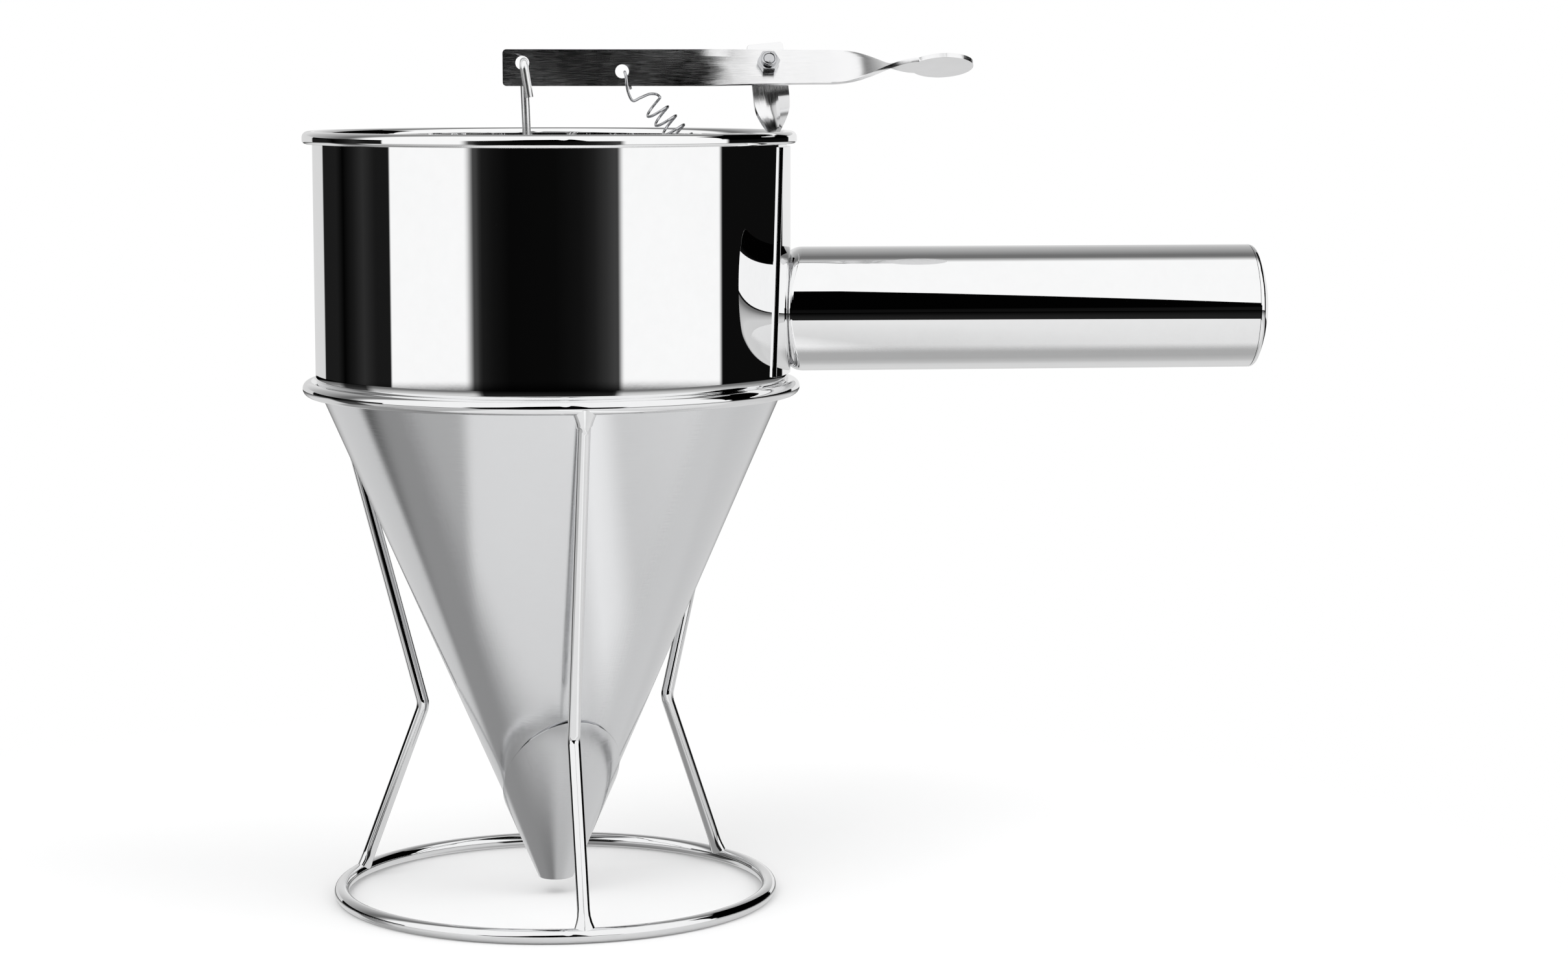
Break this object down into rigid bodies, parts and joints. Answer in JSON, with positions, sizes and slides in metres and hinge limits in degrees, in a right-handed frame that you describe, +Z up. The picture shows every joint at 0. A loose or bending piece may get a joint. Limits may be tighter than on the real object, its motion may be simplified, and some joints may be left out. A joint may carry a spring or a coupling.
{
  "type": "batter dispensing funnel with stand",
  "caption": "Batter funnel in a wire stand, with a tube handle and a sprung thumb lever over it that lifts a rod and plug off the outlet.",
  "frame": {"origin": "centre of the base ring, on the surface that the stand rests on", "axes": "+Z up along the axis of the funnel and the stand, +X from that axis towards the handle's end, -Y towards the front leg and the side of the lever with the nut"},
  "size_m": [0.2696, 0.1379, 0.2379],
  "materials": {
    "mirror_sheet": "mirror-polished stainless steel sheet",
    "satin_sheet": "satin stainless steel sheet",
    "brushed_strip": "brushed stainless steel strip",
    "polished_wire": "polished stainless steel wire",
    "turned_plug": "turned and polished stainless steel",
    "fastener": "bright plated steel",
    "spring_wire": "bright drawn spring wire"
  },
  "bodies": {
    "stand": {"stand_top_ring": "polished_wire", "stand_base_ring": "polished_wire", "stand_leg_front": "polished_wire", "stand_leg_right": "polished_wire", "stand_leg_left": "polished_wire"},
    "funnel": {"bowl_shell": "mirror_sheet", "cone_shell": "satin_sheet", "nozzle_tip": "satin_sheet", "handle_saddle": "mirror_sheet", "handle_tube": "mirror_sheet", "handle_weld": "satin_sheet", "handle_end_cap": "mirror_sheet", "pivot_bracket": "brushed_strip", "pivot_bolt": "fastener", "pivot_washer": "fastener", "pivot_nut": "fastener", "return_spring": "spring_wire"},
    "lever": {"trigger_lever": "brushed_strip"},
    "plunger": {"plunger_rod": "polished_wire", "valve_plug": "turned_plug"}
  },
  "joints": [
    {"name": "funnel_lift", "type": "slide", "parent": "stand", "child": "funnel", "axis": [0, 0, 1], "range_m": [0, 0.15]},
    {"name": "lever_pivot", "type": "hinge", "parent": "funnel", "child": "lever", "pos_m": [0.0599, -0.00208, 0.2323], "axis": [0, 1, 0], "range_deg": [0, 10], "stiffness_Nm_per_rad": 0.35, "springref_deg": -20.05, "deforming": ["return_spring"]},
    {"name": "plunger_lift", "type": "slide", "parent": "funnel", "child": "plunger", "axis": [0, 0, 1], "range_m": [0, 0.012]}
  ],
  "couplings": [
    {"joint": "plunger_lift", "follows": "lever_pivot", "m_per_rad": 0.0675}
  ]
}
